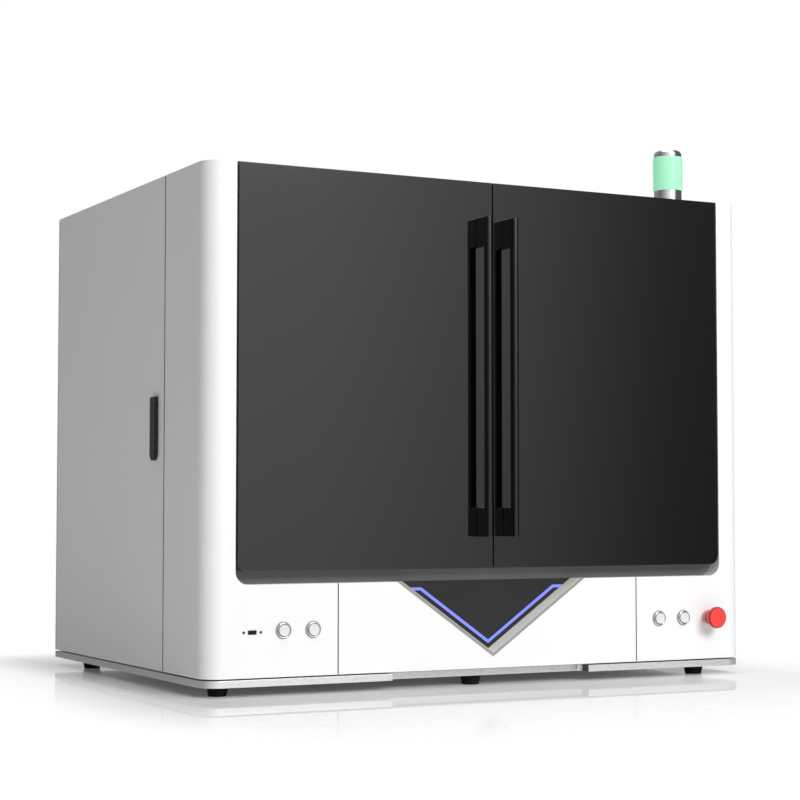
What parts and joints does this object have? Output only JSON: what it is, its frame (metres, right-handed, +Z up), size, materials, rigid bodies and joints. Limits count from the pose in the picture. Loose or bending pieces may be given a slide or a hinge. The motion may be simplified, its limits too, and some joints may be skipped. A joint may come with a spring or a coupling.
{
  "type": "desktop fiber laser cutter",
  "caption": "Enclosed white bench-top fiber laser cutter with glossy black double doors, a V-shaped light panel in the scrap drawer, push buttons, an emergency stop and a green signal lamp.",
  "frame": {"origin": "middle of the overall footprint, on the floor under the feet", "axes": "+Z up, -Y towards the front doors, +X to the right as seen from the front"},
  "size_m": [1.0966, 0.882, 0.9925],
  "materials": {
    "white_paint": "satin powder coat, very fine grain",
    "dark_paint": "matt dark grey powder coat",
    "brushed_aluminium": "brushed along the width, anodised",
    "machined_aluminium": "fine machined, anodised",
    "bare_steel": "ground",
    "liner_steel": "sheet, satin",
    "chrome": "polished",
    "black_gloss": "mirror smooth, opaque near-black",
    "black_metal": "semi-matt black",
    "black_rubber": "matt",
    "black_plastic": "fine texture",
    "green_lens": "translucent green, ribbed inside",
    "red_plastic": "smooth",
    "pale_cap": "satin pale",
    "dark_panel": "fine grain dark grey",
    "blue_light": "lit light guide",
    "controller_case": "moulded case",
    "head_metal": "satin black anodised",
    "copper_alloy": "turned"
  },
  "bodies": {
    "cabinet": {"feet": "black_rubber", "base_plate": "brushed_aluminium", "chassis_floor": "dark_paint", "chassis_frame": "dark_paint", "door_surround": "dark_paint", "door_seal": "black_rubber", "front_shell_left": "white_paint", "front_shell_right": "white_paint", "top_cover": "white_paint", "rear_panel": "white_paint", "chamber_liner": "liner_steel", "hinge_arms": "bare_steel", "hinge_pins": "bare_steel", "drawer_runners": "bare_steel", "bed_frame": "dark_paint", "bed_slats": "bare_steel", "side_beams": "machined_aluminium", "side_rails": "bare_steel", "laser_source": "dark_paint", "power_supply": "liner_steel", "motion_controller": "controller_case", "fan_housing": "black_plastic", "exhaust_duct": "liner_steel", "mains_inlet": "black_plastic", "gas_fitting": "copper_alloy", "lamp_base": "chrome", "lamp_lens": "green_lens", "lamp_cap": "chrome", "data_socket": "black_plastic", "button_bezels": "chrome", "estop_collar": "red_plastic"},
    "left_door": {"left_door_glass": "black_gloss", "left_door_frame": "dark_paint", "left_handle": "black_metal"},
    "right_door": {"right_door_glass": "black_gloss", "right_door_frame": "dark_paint", "right_handle": "black_metal"},
    "left_side_door": {"left_side_door": "white_paint"},
    "right_side_door": {"right_side_door": "white_paint"},
    "left_latch": {"left_latch": "black_metal"},
    "right_latch": {"right_latch": "black_metal"},
    "scrap_drawer": {"drawer_front": "white_paint", "emblem_trim": "brushed_aluminium", "emblem_panel": "dark_panel", "emblem_light": "blue_light", "drawer_tray": "liner_steel"},
    "gantry": {"gantry_beam": "machined_aluminium", "gantry_rails": "bare_steel"},
    "carriage": {"carriage": "machined_aluminium"},
    "cutting_head": {"cutting_head": "head_metal", "nozzle": "copper_alloy"},
    "push_button_1": {"push_button_1": "pale_cap"},
    "push_button_2": {"push_button_2": "pale_cap"},
    "push_button_3": {"push_button_3": "pale_cap"},
    "push_button_4": {"push_button_4": "pale_cap"},
    "estop_stem": {"estop_stem": "red_plastic"},
    "estop_head": {"estop_head": "red_plastic"},
    "power_switch": {"power_switch": "red_plastic"},
    "fan_rotor": {"fan_rotor": "black_plastic"}
  },
  "joints": [
    {"name": "left_door_hinge", "type": "hinge", "parent": "cabinet", "child": "left_door", "pos_m": [-0.469, -0.394, 0.54], "axis": [0, 0, -1], "range_deg": [0, 95]},
    {"name": "right_door_hinge", "type": "hinge", "parent": "cabinet", "child": "right_door", "pos_m": [0.469, -0.394, 0.54], "axis": [0, 0, 1], "range_deg": [0, 95]},
    {"name": "left_side_door_hinge", "type": "hinge", "parent": "cabinet", "child": "left_side_door", "pos_m": [-0.533, 0.367, 0.455], "axis": [0, 0, -1], "range_deg": [0, 95]},
    {"name": "right_side_door_hinge", "type": "hinge", "parent": "cabinet", "child": "right_side_door", "pos_m": [0.533, 0.367, 0.455], "axis": [0, 0, 1], "range_deg": [0, 95]},
    {"name": "left_latch_turn", "type": "hinge", "parent": "left_side_door", "child": "left_latch", "pos_m": [-0.545, -0.173, 0.486], "axis": [-1, 0, 0], "range_deg": [0, 90]},
    {"name": "right_latch_turn", "type": "hinge", "parent": "right_side_door", "child": "right_latch", "pos_m": [0.545, -0.173, 0.486], "axis": [-1, 0, 0], "range_deg": [0, 90]},
    {"name": "scrap_drawer_slide", "type": "slide", "parent": "cabinet", "child": "scrap_drawer", "axis": [0, -1, 0], "range_m": [0, 0.4]},
    {"name": "gantry_slide", "type": "slide", "parent": "cabinet", "child": "gantry", "axis": [0, -1, 0], "range_m": [0, 0.33]},
    {"name": "carriage_slide", "type": "slide", "parent": "gantry", "child": "carriage", "axis": [1, 0, 0], "range_m": [0, 0.6]},
    {"name": "head_slide", "type": "slide", "parent": "carriage", "child": "cutting_head", "axis": [0, 0, -1], "range_m": [0, 0.06]},
    {"name": "push_button_1_press", "type": "slide", "parent": "cabinet", "child": "push_button_1", "axis": [0, 1, 0], "range_m": [0, 0.0025], "stiffness_N_per_m": 400},
    {"name": "push_button_2_press", "type": "slide", "parent": "cabinet", "child": "push_button_2", "axis": [0, 1, 0], "range_m": [0, 0.0025], "stiffness_N_per_m": 400},
    {"name": "push_button_3_press", "type": "slide", "parent": "cabinet", "child": "push_button_3", "axis": [0, 1, 0], "range_m": [0, 0.0025], "stiffness_N_per_m": 400},
    {"name": "push_button_4_press", "type": "slide", "parent": "cabinet", "child": "push_button_4", "axis": [0, 1, 0], "range_m": [0, 0.0025], "stiffness_N_per_m": 400},
    {"name": "estop_press", "type": "slide", "parent": "cabinet", "child": "estop_stem", "axis": [0, 1, 0], "range_m": [0, 0.006]},
    {"name": "estop_twist", "type": "hinge", "parent": "estop_stem", "child": "estop_head", "pos_m": [0.459, -0.421, 0.107], "axis": [0, 1, 0], "range_deg": [0, 45], "stiffness_Nm_per_rad": 0.05},
    {"name": "power_switch_rock", "type": "hinge", "parent": "cabinet", "child": "power_switch", "pos_m": [0.43, 0.377, 0.145], "axis": [1, 0, 0], "range_deg": [-8, 8]},
    {"name": "fan_spin", "type": "hinge", "parent": "cabinet", "child": "fan_rotor", "pos_m": [0.3, 0.359, 0.4], "axis": [0, 1, 0], "continuous": true}
  ]
}
